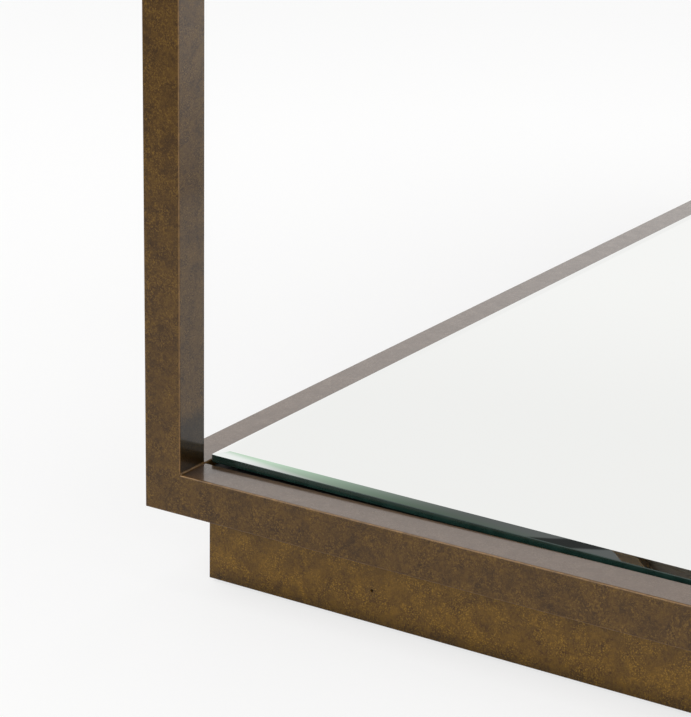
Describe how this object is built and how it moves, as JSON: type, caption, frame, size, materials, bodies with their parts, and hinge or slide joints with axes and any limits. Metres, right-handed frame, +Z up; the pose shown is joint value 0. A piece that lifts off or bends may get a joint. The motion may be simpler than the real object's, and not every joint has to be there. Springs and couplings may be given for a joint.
{
  "type": "vanity table with mirror",
  "caption": "Slim dressing table of square antique-brass tube on a recessed plinth, with a bevelled mirror shelf, a mirrored top, shallow drawers and a tilting mirror.",
  "frame": {"origin": "on the floor under the middle of the table", "axes": "+X along the table to its right end as seen from the front, +Y from the front to the back, +Z up"},
  "size_m": [1.1, 0.45, 1.29],
  "materials": {
    "antique_brass": "mottled antique patina, satin",
    "polished_brass": "brushed, lacquered",
    "mirror": "silvered glass, ground and polished bevel",
    "backing_board": "board painted matt black",
    "bronze_lacquer": "bronze lacquer, satin",
    "drawer_wood": "clear matt lacquer",
    "slide_steel": "zinc plated",
    "ledge_steel": "bronze paint",
    "clear_bumper": "clear soft plastic",
    "felt": "felt"
  },
  "bodies": {
    "table": {"apron_rail_back": "antique_brass", "apron_rail_front": "antique_brass", "apron_rail_left": "antique_brass", "apron_rail_right": "antique_brass", "base_rail_back": "antique_brass", "base_rail_front": "antique_brass", "base_rail_left": "antique_brass", "base_rail_right": "antique_brass", "case_bottom": "bronze_lacquer", "case_divider": "bronze_lacquer", "case_panel_back": "bronze_lacquer", "case_panel_left": "bronze_lacquer", "case_panel_right": "bronze_lacquer", "floor_pads": "felt", "plinth_back": "antique_brass", "plinth_front": "antique_brass", "plinth_left": "antique_brass", "plinth_right": "antique_brass", "post_back_left": "antique_brass", "post_back_right": "antique_brass", "post_front_left": "antique_brass", "post_front_right": "antique_brass", "shelf_board": "backing_board", "shelf_ledges": "ledge_steel", "shelf_mirror": "mirror", "shelf_pads": "clear_bumper", "slide_channels": "slide_steel", "top_board": "backing_board", "top_ledges": "ledge_steel", "top_mirror": "mirror", "top_pads": "clear_bumper", "top_rail_back": "antique_brass", "top_rail_front": "antique_brass", "top_rail_left": "antique_brass", "top_rail_right": "antique_brass", "upright_foot_plates": "antique_brass", "upright_foot_screws": "polished_brass", "upright_left": "antique_brass", "upright_right": "antique_brass"},
    "drawer_left": {"drawer_left_back": "drawer_wood", "drawer_left_bottom": "drawer_wood", "drawer_left_front": "drawer_wood", "drawer_left_knob": "polished_brass", "drawer_left_mirror_face": "mirror", "drawer_left_side_left": "drawer_wood", "drawer_left_side_right": "drawer_wood", "drawer_left_slide_bars": "slide_steel"},
    "drawer_right": {"drawer_right_back": "drawer_wood", "drawer_right_bottom": "drawer_wood", "drawer_right_front": "drawer_wood", "drawer_right_knob": "polished_brass", "drawer_right_mirror_face": "mirror", "drawer_right_side_left": "drawer_wood", "drawer_right_side_right": "drawer_wood", "drawer_right_slide_bars": "slide_steel"},
    "mirror": {"mirror_frame": "antique_brass", "mirror_glass": "mirror", "mirror_back_board": "backing_board", "mirror_pivots": "polished_brass"}
  },
  "joints": [
    {"name": "drawer_left_slide", "type": "slide", "parent": "table", "child": "drawer_left", "axis": [0, -1, 0], "range_m": [0, 0.25]},
    {"name": "drawer_right_slide", "type": "slide", "parent": "table", "child": "drawer_right", "axis": [0, -1, 0], "range_m": [0, 0.25]},
    {"name": "mirror_tilt", "type": "hinge", "parent": "table", "child": "mirror", "pos_m": [0, 0.2125, 1.05], "axis": [1, 0, 0], "range_deg": [-25, 20]}
  ]
}
